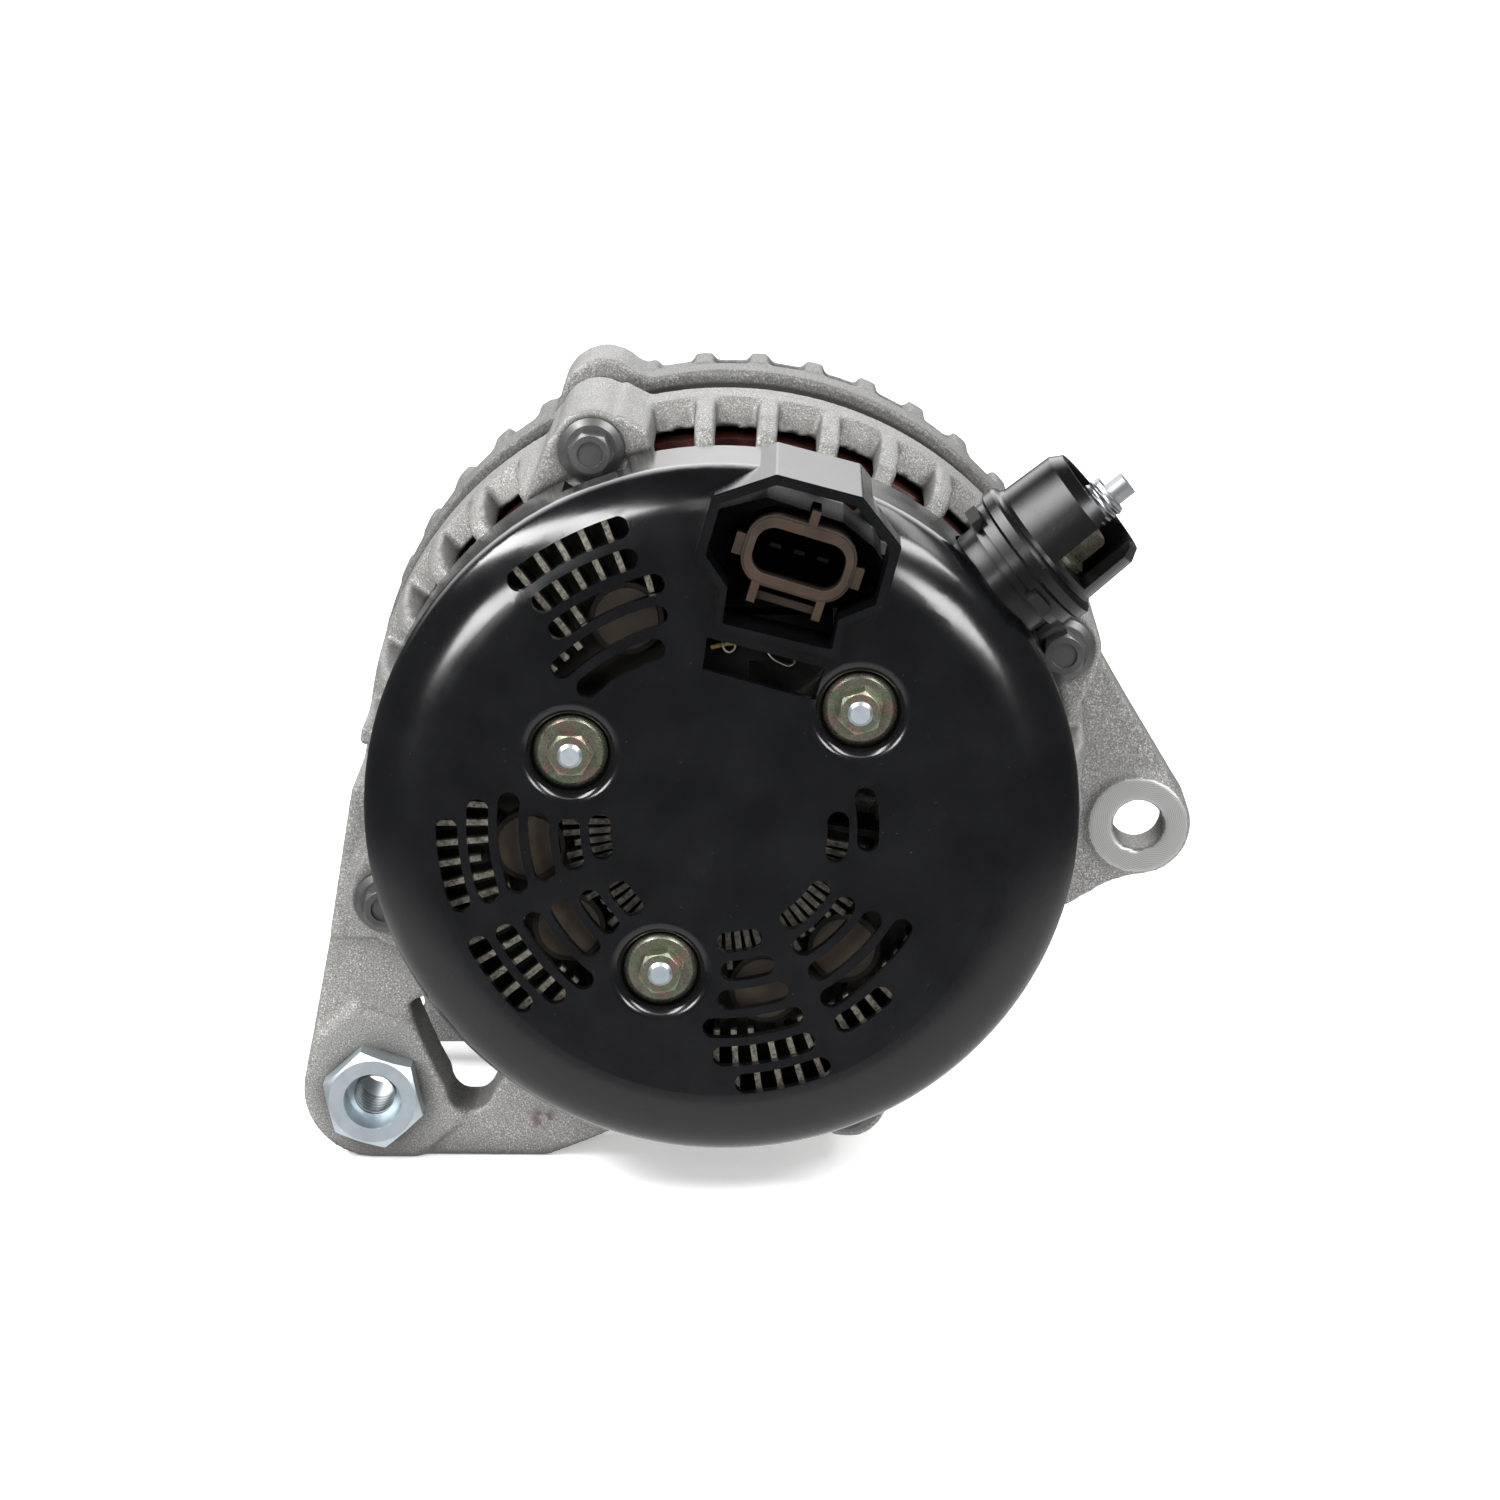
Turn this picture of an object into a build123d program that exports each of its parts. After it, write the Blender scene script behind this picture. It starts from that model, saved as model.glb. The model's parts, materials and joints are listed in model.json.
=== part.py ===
from build123d import *
from math import cos, degrees, hypot, radians, sin, sqrt
import os

os.makedirs("parts", exist_ok=True)

# Car alternator, millimetres. X is right as seen from the rear, Y runs along the shaft towards the
# pulley, Z is up. Everything is built with y = 0 at the flat face of the rear cover, and is moved
# on export so that the origin is on the shaft axis, in the middle of the belt.

# Driving dimensions: depths are distances forward from the rear cover's face.
BELT_Y = 131.5
COVER_R = 71.4
COVER_RIM_Y = 26.5
COVER_FLAT_R = 56.4
COVER_SHOULDER_Y = 10.0
COVER_SKIN = 2.0
REAR_PLATE_Y = 30.0
REAR_RIM_Y = 66.0
FRONT_FLANGE_Y = 79.0
BRACKET_R = 75.6
STATOR_R = 71.2
STATOR_BORE_R = 52.0
STATOR_Y0, STATOR_Y1 = 60.0, 85.0
ROTOR_R = 51.5
ROTOR_Y0, ROTOR_Y1 = 54.0, 91.0
BOLT_CIRCLE_R = 74.5
BOLT_ANGLES = (110.6, 22.8, 200.2, 290.4)
STUDS = ((33.1, 152.8), (36.4, 41.2), (32.4, 248.2))
PIVOT = (-73.8, -69.5)
EAR = (90.0, -24.7)
TERMINAL_ANGLE = 39.7
TERMINAL_Y = 19.0
SHAFT_R = 8.5
REAR_JOURNAL_R = 5.0
SLIP_RING_R = 7.2
BRUSH_Y = (13.0, 20.0)
PULLEY_R = 28.0
RUN = 0.05


def at(r, deg):
    return (r * cos(radians(deg)), r * sin(radians(deg)))


def prism(sketch, y0, y1):
    """A sketch drawn in X and Z, made solid from depth y0 to y1."""
    return extrude(Plane(origin=(0, y1, 0), x_dir=(1, 0, 0), z_dir=(0, -1, 0)) * sketch, y1 - y0)


def turned(*points):
    """A solid turned about the shaft axis from a closed outline of (radius, depth) points."""
    return revolve(make_face(Polyline(*points, close=True)), Axis.Y)


def tube(r0, r1, y0, y1, at_xz=(0, 0)):
    ring = Circle(r1) if r0 == 0 else Circle(r1) - Circle(r0)
    return prism(Pos(*at_xz) * ring, y0, y1)


def rod(r, x0, x1):
    """A round bar along X, ready to be aimed outwards with `radial`."""
    from_end = Align.CENTER, Align.CENTER, Align.MIN
    return Pos(x0, 0, 0) * Rot(0, 90, 0) * Cylinder(r, x1 - x0, align=from_end)


def box(x0, x1, y0, y1, z0, z1):
    return Pos((x0 + x1) / 2, (y0 + y1) / 2, (z0 + z1) / 2) * Box(x1 - x0, y1 - y0, z1 - z0)


def radial(shape, y, deg):
    """Aims a shape built along X outwards at an angle above X, at depth y."""
    return Pos(0, y, 0) * Rot(0, -deg, 0) * shape


def sector(r0, r1, a0, a1):
    """A piece of a flat ring between two angles."""
    inner = CenterArc((0, 0), r0, a0, a1 - a0)
    outer = CenterArc((0, 0), r1, a0, a1 - a0)
    ends = Line(inner @ 0, outer @ 0) + Line(inner @ 1, outer @ 1)
    return make_face(inner + outer + ends)


def hexagon(across_flats, turn=0, centre=(0, 0)):
    return Pos(*centre) * Rot(0, 0, turn) * RegularPolygon(across_flats / sqrt(3), 6)


def around(shape, count, start=0):
    return [Rot(0, -start - 360 * k / count, 0) * shape for k in range(count)]


def along_x(shape):
    """Turns a shape built along Y to lie along X."""
    return Rot(0, 0, -90) * shape


def hex_head(across_flats, y0, y1, turn=0, spot=(0, 0)):
    """A hexagonal head along Y with its corners eased at the y0 end."""
    corner = across_flats / sqrt(3) + 0.05
    flat = across_flats * 0.48
    ease = turned((0, y0), (flat, y0), (corner, y0 + (corner - flat) * 0.55), (corner, y1), (0, y1))
    return prism(hexagon(across_flats, turn, spot), y0, y1) & Pos(spot[0], 0, spot[1]) * ease


def save(name, *solids):
    pieces = []
    for shape in solids:
        pieces += shape.solids()
    whole = pieces[0] if len(pieces) == 1 else Compound(children=pieces)
    export_step(Pos(0, -BELT_Y, 0) * whole, "parts/" + name + ".step")
    print(name, len(pieces), round(sum(p.volume for p in pieces)))


# ---- rear cover ----------------------------------------------------------------------------

def dome(inset, rim_y):
    """The cover's outer shape, or its inner one when inset by the skin."""
    flat, side = COVER_FLAT_R, COVER_R - inset
    drop = COVER_SHOULDER_Y - inset
    shoulder = EllipticalCenterArc((flat, COVER_SHOULDER_Y), side - flat, drop, 270, arc_size=90)
    outline = Polyline((flat, inset), (0, inset), (0, rim_y), (side, rim_y), (side, COVER_SHOULDER_Y))
    return revolve(make_face(outline + shoulder), Axis.Y)


SHROUD = ((11.0, 72.1), (27.5, 67.7), (35.0, 58.0), (31.7, 45.2), (24.6, 42.3), (23.2, 35.3),
          (-1.6, 41.4), (-0.4, 49.5), (-4.7, 56.0), (-1.3, 67.9))
SHROUD_Y = -4.0
SHROUD_WALL = 1.9
SHROUD_DEPTH = 7.5
NOTCH_R = 7.6
NOTCH_Y = 16.0
WIRE_WINDOW = ((-2.5, 39.0), (20.4, 33.0), (18.6, 26.4), (-3.4, 32.6))
POCKET_R = 7.9
MOUTH_R = 2.4
POCKET_Y = 3.2

# Vent slots: the innermost ring's radius, the ring pitch, then each ring's first and last angle.
VENT_WIDTH = 4.3
VENTS = (
    (23.8, 6.05, ((173, 196), (176, 197), (175, 198), (170, 199), (173, 199), (178, 199))),
    (23.8, 6.05, ((208, 228), (206, 226), (205, 227), (205, 232), (205, 229), (205, 225))),
    (23.8, 6.05, ((268, 290), (270, 291), (269, 292), (265, 293), (268, 293), (273, 294))),
    (23.4, 6.05, ((301, 332), (300, 331), (300, 331), (299, 333), (299, 315))),
    (23.3, 5.9, ((-17, 9), (-9, 17))),
    (38.7, 6.2, ((106, 135), (103, 136), (102, 130), (106, 129), (106, 130))),
)


def vent_cutters():
    cutters = []
    for first, pitch, rings in VENTS:
        for k, (a0, a1) in enumerate(rings):
            r = first + k * pitch
            cap = degrees(VENT_WIDTH / 2 / r)
            arc = CenterArc((0, 0), r, a0 + cap, a1 - a0 - 2 * cap)
            cutters.append(prism(SlotArc(arc, VENT_WIDTH), -1, 9.5))
    return cutters


def pocket_mouth(r, deg):
    """The hollow of a nut pocket, with its mouth rounded over."""
    lip = POCKET_R + MOUTH_R
    arc = RadiusArc((lip, 0), (POCKET_R, MOUTH_R), MOUTH_R)
    sides = Polyline((POCKET_R, MOUTH_R), (POCKET_R, POCKET_Y), (0, POCKET_Y), (0, -1), (lip, -1), (lip, 0))
    x, z = at(r, deg)
    return Pos(x, 0, z) * revolve(make_face(sides + arc), Axis.Y)


def shroud(inset, corner_r):
    """The outline of the wall round the plug socket, or of its inside when inset."""
    outline = make_face(Polyline(*SHROUD, close=True))
    if inset:
        outline = offset(outline, -inset, kind=Kind.INTERSECTION)
    return fillet(outline.vertices(), corner_r)


def notches(r):
    """Round clearances beside the through bolts' heads."""
    start = NOTCH_Y + r - NOTCH_R
    return [tube(0, r, start, COVER_RIM_Y + 2, at(BOLT_CIRCLE_R, deg)) for deg in BOLT_ANGLES]


def rear_cover():
    outer = dome(0, COVER_RIM_Y)
    inner = dome(COVER_SKIN, COVER_RIM_Y + 1)
    for notch in notches(NOTCH_R):
        outer -= notch
    for notch in notches(NOTCH_R + COVER_SKIN):
        inner -= Pos(0, -2 * COVER_SKIN, 0) * notch
    rim = prism(shroud(0.5, 0.9), SHROUD_Y, SHROUD_Y + 0.5)
    rim += prism(shroud(0, 0.9), SHROUD_Y + 0.5, COVER_RIM_Y)
    shell = outer + rim - (inner - prism(shroud(0, 0.9), SHROUD_Y, SHROUD_DEPTH))
    for r, deg in STUDS:
        shell += tube(0, POCKET_R + 1.8, 0.5, POCKET_Y + 2, at(r, deg))
    for r, deg in STUDS:
        shell -= pocket_mouth(r, deg)
        shell -= tube(0, 2.8, 0, 9, at(r, deg))
    shell -= prism(shroud(SHROUD_WALL, 0.6), SHROUD_Y - 1, COVER_RIM_Y + 1)
    shell -= prism(make_face(Polyline(*WIRE_WINDOW, close=True)), -1, 3)
    shell -= radial(rod(12.4, 56, 90), TERMINAL_Y, TERMINAL_ANGLE)
    for cutter in vent_cutters():
        shell -= cutter
    return shell


save("rear_cover", rear_cover())

NUT_TURN = (0, 18, 10)
cover_nuts = []
cover_studs = []
stud_insulators = []
for (r, deg), turn in zip(STUDS, NUT_TURN):
    spot = at(r, deg)
    flange = turned((0, 1.9), (6.4, 1.9), (7.35, 2.6), (7.35, POCKET_Y), (0, POCKET_Y))
    nut = Pos(spot[0], 0, spot[1]) * flange + hex_head(8, -0.9, 2.2, turn, spot)
    cover_nuts.append(nut - tube(0, 2.53, -3, 4, spot))
    stud = turned((0, -1.6), (1.9, -1.6), (2.5, -1.0), (2.5, 33.5), (0, 33.5))
    cover_studs.append(Pos(spot[0], 0, spot[1]) * stud)
    stud_insulators.append(tube(2.7, 5.4, POCKET_Y + 2.02, 20.98, spot))
save("cover_nuts", *cover_nuts)
save("cover_studs", *cover_studs)
save("stud_insulators", *stud_insulators)

# ---- rear bracket --------------------------------------------------------------------------

REAR_WINDOWS = (98, 88, 78, 68, 58, 48, 128, 138, 148, 158, 168, 178,
                8, 358, 348, 338, 328, 318, 308, 275, 265, 255)
BEARING_SEAT_R = 14.45
WALL_R = 69.8


def bolt_boss(deg, boss_r, y0, y1):
    """A round boss on the bolt circle, flared into the casting on both sides."""
    flare = [at(70.5, deg - 14), at(79.5, deg - 5.5), at(79.5, deg + 5.5), at(70.5, deg + 14)]
    boss = Pos(*at(BOLT_CIRCLE_R, deg)) * Circle(boss_r)
    return prism(boss + make_face(Polyline(*flare, close=True)), y0, y1)


def pivot_casting():
    """The lower-left arm: its left edge, the rounded corner at the pivot and the level foot."""
    corner_r = 15.1
    px, pz = PIVOT
    edge = Polyline((-60, 30), (-73.6, 14), (-77.4, -6), (-82.3, -34.3), (px - corner_r, pz + 2))
    corner = RadiusArc((px - corner_r, pz + 2), (px + 1, pz - corner_r), -corner_r)
    foot = Polyline((px + 1, pz - corner_r), (-38, pz - corner_r), (-29, -81), (-18, -76),
                    (-18, -50), (-60, 30))
    return make_face(edge + corner + foot)


def casting_gap():
    """The curved gap between the pivot boss and the round body."""
    left = ThreePointArc((-66.4, -50), (-62.6, -60.5), (-58.7, -69.0))
    bottom = ThreePointArc((-58.7, -69.0), (-54.2, -74.2), (-49.3, -70.6))
    right = Polyline((-49.3, -70.6), (-44.5, -63), (-52, -44), (-66.4, -50))
    return make_face(left + bottom + right) - Circle(77.0)


def rear_bracket():
    body = turned((68.5, REAR_PLATE_Y), (73.2, 33.5), (74.9, 42), (BRACKET_R, 58), (BRACKET_R, REAR_RIM_Y),
                  (STATOR_R + 0.02, REAR_RIM_Y), (STATOR_R + 0.02, STATOR_Y0), (WALL_R, STATOR_Y0),
                  (WALL_R, 36.5), (67.5, 34), (0, 34), (0, REAR_PLATE_Y))
    body -= prism(Circle(56) - Circle(17), REAR_PLATE_Y - 1, 35)
    body += tube(0, 19, 24.5, 41)
    for deg in (152.8, 41.2, 248.2, 98, 200, 295, 345):
        body += Rot(0, -deg, 0) * box(17, 58, REAR_PLATE_Y, 34, -4.5, 4.5)
        body += Rot(0, -deg, 0) * box(17, 57, 34, 38, -1.5, 1.5)
    for r, deg in STUDS:
        body += tube(0, 7, 24.02, 34, at(r, deg))
    for deg in BOLT_ANGLES:
        boss = bolt_boss(deg, 8, REAR_PLATE_Y, REAR_RIM_Y)
        body += boss - tube(0, WALL_R + 1.4, REAR_PLATE_Y, REAR_RIM_Y)
    arm = prism(pivot_casting() - casting_gap(), 35, 49)
    arm += tube(0, 12.2, 40, 50, PIVOT)
    arm += prism(pivot_casting() & Pos(-75, 0) * Rectangle(40, 70), 33, 62)
    body += arm - tube(0, WALL_R + 1.4, 30, 66)
    pad = hexagon(34, 42, PIVOT) & (pivot_casting() - casting_gap())
    body += prism(pad, 33.6, 36)
    outline = Polyline((62, 28), (62, 51), (70, 51), (80, 59.5), (80, 28), close=True)
    plan = make_face(Polyline((60, -3.2), (82, -5.1), (82, 5.1), (60, 3.2), close=True))
    arch = Rot(0, 90, 0) * extrude(Pos(0, 40) * RectangleRounded(10.4, 39.4, 2.4), 90)
    window = Pos(0, 0, -6) * extrude(make_face(outline), 12) & prism(plan, 20, 65) & arch
    for deg in REAR_WINDOWS:
        body -= Rot(0, -deg, 0) * window
    for deg in BOLT_ANGLES:
        body -= tube(0, 3.2, 20, 70, at(BOLT_CIRCLE_R, deg))
        body -= tube(0, 7.4, 27, REAR_PLATE_Y + 0.4, at(BOLT_CIRCLE_R, deg))
    body -= tube(0, 8, 20, 45)
    for x, z in REGULATOR_SCREWS:
        body -= tube(0, 2.02, 29, 35, (x, z))
    body -= tube(0, BEARING_SEAT_R, 27, 45)
    body += tube(9, BEARING_SEAT_R + 1, 38.02, 41)
    body -= tube(0, 8.6, 40, 60, PIVOT)
    body -= tube(0, 8.6, 30, 60, PIVOT)
    for r, deg in STUDS:
        body -= tube(0, 2.52, 20, 33.6, at(r, deg))
    for deg in LEAD_ANGLES:
        body -= tube(0, 2.2, 28, 36, at(LEAD_R, deg))
    body -= radial(rod(12.6, 56, 90), TERMINAL_Y, TERMINAL_ANGLE)
    return body


REGULATOR_SCREWS = ((-8.2, 50.0), (34.3, 47.2))
LEAD_R = 60.0
LEAD_ANGLES = (105, 128, 170, 230, 265, 322)
save("rear_bracket", rear_bracket())

bushing = hex_head(19, 28, 33.58, 42, PIVOT) + tube(0, 8.55, 33.5, 50, PIVOT)
bushing = bushing - tube(0, 4.25, 20, 60, PIVOT) - tube(0, 6.1, 20, 34.5, PIVOT)
save("pivot_bushing", bushing)

through_bolts = []
for deg in BOLT_ANGLES:
    spot = at(BOLT_CIRCLE_R, deg)
    head = hex_head(8, 24.6, 29.2, deg, spot) - tube(0, 2.6, 24, 25.3, spot)
    seat_y = REAR_PLATE_Y + 0.38
    flange = turned((0, 28.6), (5.2, 28.6), (6.5, 29.4), (6.5, seat_y), (0, seat_y))
    bolt = head + Pos(spot[0], 0, spot[1]) * flange + tube(0, 3, REAR_PLATE_Y, 96, spot)
    through_bolts.append(bolt)
save("through_bolts", *through_bolts)

# ---- front bracket -------------------------------------------------------------------------

HUB_R = 31.0
FRONT_SEAT_R = 23.55


def adjusting_arm():
    """The right-hand arm: straight upper edge down to the ear, hollow lower edge back to the body."""
    ex, ez = EAR
    upper = (78.4, 22.5), (80.6, 14.0), (87.0, 3.0), (ex + 10.4, ez + 5.4)
    lower = (ex + 1, ez - 11.5), (83.3, -38.6), (74.4, -44.2), (60, -40), (60, 26)
    return make_face(Polyline(*upper, *lower, close=True)) + Pos(ex, ez) * Circle(11.5)


def front_pivot_lug():
    px, pz = PIVOT
    web = (px - 9, pz + 3), (px, pz - 9.3), (-50, -78.6), (-25, -74.5), (-40, -50), (-68, -25)
    return make_face(Polyline(*web, close=True)) + Pos(px, pz) * Circle(9.5)


def front_bracket():
    body = turned((STATOR_R + 0.02, FRONT_FLANGE_Y), (76.5, FRONT_FLANGE_Y), (76.5, 88), (75.2, 89),
                  (75.2, 99), (70, 105.5), (HUB_R, 111), (HUB_R, 117), (19, 117), (19, 112.02),
                  (FRONT_SEAT_R, 112.02), (FRONT_SEAT_R, 98), (HUB_R, 98), (HUB_R, 104), (67, 101),
                  (WALL_R, 98), (WALL_R, STATOR_Y1), (STATOR_R + 0.02, STATOR_Y1))
    for rib in around(box(70, 76.9, 88, 99, -2.1, 2.1), 40, 4):
        body += rib
    for deg in BOLT_ANGLES:
        body += bolt_boss(deg, 9.2, FRONT_FLANGE_Y, 97) - tube(0, WALL_R + 1.4, FRONT_FLANGE_Y, 97)
    wall_cut = tube(0, WALL_R + 1.4, 70, 99)
    body += prism(adjusting_arm(), 82, 91) - wall_cut
    body += prism(front_pivot_lug(), 86, 96) - wall_cut
    body += Pos(EAR[0], 0, EAR[1]) * turned((0, 80.5), (11, 80.5), (11.5, 81), (11.5, 92), (0, 92))
    side = box(60, 80, 90.5, 97, -3, 3)
    for window, k in zip(around(side, 40, 8.5), range(40)):
        deg = 8.5 + 9 * k
        blocked = any(abs((deg - b + 180) % 360 - 180) < 13 for b in BOLT_ANGLES)
        if not blocked and not 196 < deg < 250 and not 325 < deg < 389:
            body -= window
    for deg in range(0, 360, 30):
        body -= prism(sector(36, 65, deg + 4.5, deg + 25.5), 97, 118)
    for rib in around(box(HUB_R - 1, 72, 101, 106, -1.6, 1.6), 12):
        body += rib
    body -= tube(0, 5.5, 70, 100, EAR)
    body -= tube(0, 5.25, 70, 100, PIVOT)
    for deg in BOLT_ANGLES:
        body -= tube(0, 4.7, 78, 84.5, at(BOLT_CIRCLE_R, deg)) & tube(STATOR_R + 0.3, 90, 78, 85)
        body -= tube(0, 3.02, 78, 97.5, at(BOLT_CIRCLE_R, deg))
    for deg in RETAINER_SCREWS:
        body -= tube(0, 2.02, 97, 107, at(RETAINER_R, deg))
    return body


RETAINER_R = 27.3
RETAINER_SCREWS = (45, 135, 225, 315)
save("front_bracket", front_bracket())

retainer = prism(Circle(30.2) - Circle(14.5), 96, 97.98)
for deg in RETAINER_SCREWS:
    retainer -= tube(0, 2.2, 95, 99, at(RETAINER_R, deg))
save("bearing_retainer", retainer)
retainer_screws = []
for deg in RETAINER_SCREWS:
    spot = at(RETAINER_R, deg)
    screw = tube(0, 3.6, 93.8, 95.98, spot) + tube(0, 2, 95.9, 106, spot)
    retainer_screws.append(screw - prism(hexagon(2.5, 0, spot), 93, 95))
save("retainer_screws", *retainer_screws)

# ---- bearings ------------------------------------------------------------------------------

BALL_START = 11.0


def bearing(prefix, y0, width, bore_r, outer_r, pitch_r, ball_r, count):
    """A deep-groove ball bearing in separate pieces, with a shield each side."""
    mid = y0 + width / 2
    y1 = y0 + width
    groove = Pos(0, mid, 0) * Rot(90, 0, 0) * Torus(pitch_r, ball_r + RUN)
    land = ball_r * 0.62
    outer = tube(pitch_r + land, outer_r, y0, y1) - groove
    inner = tube(bore_r, pitch_r - land, y0, y1) - groove
    step_r = pitch_r + land + 0.6
    step = tube(0, step_r, y0 - 1, y0 + 0.9) + tube(0, step_r, y1 - 0.9, y1 + 1)
    save(prefix + "_outer_race", outer - step)
    save(prefix + "_inner_race", inner)
    shield = tube(pitch_r - land + 0.3, pitch_r + land + 0.58, y0 + 0.1, y0 + 0.8)
    other = tube(pitch_r - land + 0.3, pitch_r + land + 0.58, y1 - 0.8, y1 - 0.1)
    save(prefix + "_shields", shield, other)
    balls = around(Pos(pitch_r, mid, 0) * Sphere(ball_r), count, BALL_START)
    save(prefix + "_balls", *balls)
    cage = tube(pitch_r - land + 0.5, pitch_r + land - 0.5, mid - ball_r - 0.9, mid + ball_r + 0.9)
    drill = Pos(0, mid, 0) * rod(ball_r + 0.12, pitch_r - ball_r, pitch_r + ball_r)
    for pocket in around(drill, count, BALL_START):
        cage -= pocket
    save(prefix + "_cage", cage)


bearing("front_bearing", 98, 14, SHAFT_R + 0.005, FRONT_SEAT_R - 0.01, 16.0, 4.2, 7)
bearing("rear_bearing", 27.02, 10.96, REAR_JOURNAL_R + 0.005, 13.5, 9.3, 2.4, 8)
save("rear_bearing_sleeve", tube(13.52, BEARING_SEAT_R - 0.01, 27.02, 37.98))

# ---- stator --------------------------------------------------------------------------------

SLOTS = 48


def slots(width, r0, r1):
    slot = Pos((r0 + r1) / 2, 0) * Rectangle(r1 - r0, width)
    return [Rot(0, 0, 360 / SLOTS * (k + 0.5)) * slot for k in range(SLOTS)]


lamination = Circle(STATOR_R) - Circle(STATOR_BORE_R)
for slot in slots(3.1, 54.5, 66.5):
    lamination -= slot
for slot in slots(1.4, 50, 55):
    lamination -= slot
save("stator_core", prism(lamination, STATOR_Y0, STATOR_Y1))

rear_head = turned((55.5, 46), (57.5, 44.5), (66.5, 44.5), (68.6, 46.5), (68.6, 57.5),
                   (66, 59.6), (55, 59.6))
front_head = turned((55.5, 99), (57.5, 100.4), (66.5, 100.4), (68.6, 98.5), (68.6, 87.5),
                    (66, 85.4), (55, 85.4))
winding = rear_head + front_head
for bar in slots(2.7, 55.2, 66.2):
    winding += prism(bar, 59, 86)
save("stator_winding", winding)

# ---- rectifier -----------------------------------------------------------------------------

DIODES = ((44.5, 114.5), (39.0, 189.5), (38.6, 217.5), (37.5, 283.4), (37.2, 311.5), (37.2, 341.0))
DIODE_R = 6.25
SINK_START, SINK_END = 105, 352
FINS = [SINK_START + 1.0 + 4.4 * k for k in range(56)]
FIN_OUTER_R = 65.5
INNER_FINS = [(21.2, r1) for r1 in (31.5, 29.5, 27.5)]
OUTER_FINS = [(r0, FIN_OUTER_R) for r0 in (44.5, 46.5, 48.5, 50.5, 52.5, 54.5)]


def clear_of(holes, deg, r0, r1, half_width):
    """True when a radial strip keeps away from every round hole (radius, angle, size)."""
    for r, hole_deg, size in holes:
        x, z = at(r, hole_deg - deg)
        nearest = hypot(max(r0 - x, 0, x - r1), z)
        if nearest < size + half_width:
            return False
    return True


BRUSH_SPACE = box(-6.2, 30, 0, 30, 0, 43.2)


def positive_heat_sink():
    plate = sector(20.5, 64, SINK_START, SINK_END) + sector(47, 60, SINK_END - 1, 406)
    body = prism(plate, 12.5, 14.8)
    holes = [(r, deg, DIODE_R + 0.9) for r, deg in DIODES] + [(r, deg, 9.0) for r, deg in STUDS]
    for deg in FINS:
        for strips in INNER_FINS, OUTER_FINS:
            for r0, r1 in strips:
                if clear_of(holes, deg, r0, r1, 0.6):
                    body += Rot(0, -deg, 0) * box(r0, r1, 5.6, 13, -0.6, 0.6)
                    break
    for r, deg in DIODES:
        body += tube(0, DIODE_R + 1.1, 8.6, 14.8, at(r, deg)) & tube(20.5, 64, 8, 15)
        body -= tube(0, DIODE_R + 0.01, 5, 15, at(r, deg))
    for r, deg in STUDS[0], STUDS[2]:
        body -= tube(0, 5.5, 4, 15, at(r, deg))
    body -= BRUSH_SPACE
    tab = box(57, 60, 12.5, 27.5, -6.4, 6.4) - Pos(0, TERMINAL_Y, 0) * rod(4.1, 50, 70)
    body += Rot(0, -TERMINAL_ANGLE, 0) * tab
    return body


save("positive_heat_sink", positive_heat_sink())

positive_diodes = []
negative_diodes = []
for r, deg in DIODES:
    spot = at(r, deg)
    positive_diodes.append(tube(0, DIODE_R, 8.4, 14.6, spot) + tube(0, 0.8, 14.5, 18.5, spot))
for r, deg in DIODES:
    spot = at(r, deg + (17 if r > 38.8 else 14))
    negative_diodes.append(tube(0, DIODE_R, 20.6, 23.9, spot) + tube(0, 0.8, 15.5, 20.7, spot))
save("positive_diodes", *positive_diodes)
save("negative_diodes", *negative_diodes)


def rectifier_holes(body, y0, y1, diode_r, lead_r, stud_r):
    for r, deg in DIODES:
        body -= tube(0, lead_r, y0, y1, at(r, deg))
        body -= tube(0, diode_r, y0, y1, at(r, deg + (17 if r > 38.8 else 14)))
    for r, deg in STUDS[0], STUDS[2]:
        body -= tube(0, stud_r, y0, y1, at(r, deg))
    for deg in LEAD_ANGLES:
        body -= tube(0, 1.0 if diode_r < 3 else 2.2, y0, y1, at(LEAD_R, deg))
    return body - BRUSH_SPACE


negative_plate = prism(sector(20.5, 64, SINK_START, SINK_END), 21, 24)
save("negative_heat_sink", rectifier_holes(negative_plate, 20, 25, DIODE_R + 0.01, 2.5, 2.7))
block = prism(sector(24, 63, SINK_START, SINK_END), 15.5, 19)
save("diode_terminal_block", rectifier_holes(block, 14, 20, 0.82, 0.82, 5.5))
save("phase_leads", *[tube(0, 0.95, 15.4, 44.45, at(LEAD_R, deg)) for deg in LEAD_ANGLES])

# ---- output terminal -----------------------------------------------------------------------

STUD_R, STUD_PITCH_R, STUD_TIP_R = 4.0, 3.55, 2.8
NUT_END = 92.95

stud = rod(STUD_PITCH_R, 56, 93.1) + rod(STUD_R, 93, 99.4) + rod(STUD_TIP_R, 99.3, 103.4)
stud -= box(99.4, 104, -4, 4, 1.5, 4)
stud += box(53, 56.98, -3.9, 5.7, -6.3, 6.3)
save("terminal_stud", radial(stud, TERMINAL_Y, TERMINAL_ANGLE))
nut = along_x(turned((0, 84.42), (8.6, 84.42), (8.6, 85.6), (7.6, 86.5), (0, 86.5)))
nut += Rot(0, 0, 180) * along_x(hex_head(13, -NUT_END, -86.4))
nut -= rod(STUD_PITCH_R + 0.04, 84, 94)
save("terminal_nut", radial(nut, TERMINAL_Y, TERMINAL_ANGLE))


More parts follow.
